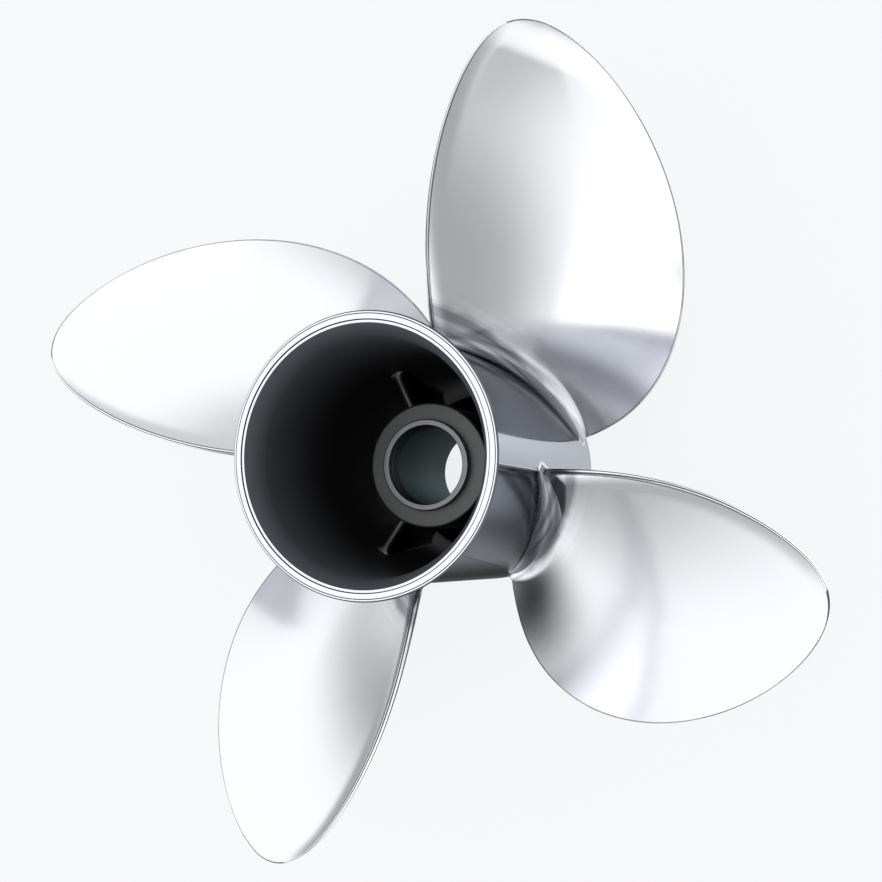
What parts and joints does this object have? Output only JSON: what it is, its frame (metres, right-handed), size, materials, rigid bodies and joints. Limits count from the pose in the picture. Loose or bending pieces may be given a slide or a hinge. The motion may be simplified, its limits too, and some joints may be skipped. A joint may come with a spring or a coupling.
{
  "type": "ship propeller",
  "caption": "Right-hand screw propeller with wide raked blades on a hollow hub that lets the exhaust out through a flared aft ring.",
  "frame": {"origin": "middle of the hub's forward rim, on the shaft line, where the propeller stands", "axes": "+Z aft along the shaft line; +Y towards the reference line of blade_1; blades run on counter-clockwise seen from aft"},
  "size_m": [0.3804, 0.3804, 0.158],
  "materials": {
    "polished_steel": "polished",
    "cast_steel": "matte",
    "machined_steel": "satin"
  },
  "bodies": {
    "root": {"hub_barrel": "polished_steel", "flared_ring": "polished_steel", "blade_1": "polished_steel", "blade_2": "polished_steel", "blade_3": "polished_steel", "blade_4": "polished_steel", "inner_hub": "cast_steel", "nut_collar": "machined_steel", "rib_1": "cast_steel", "rib_2": "cast_steel", "rib_3": "cast_steel"}
  },
  "joints": []
}
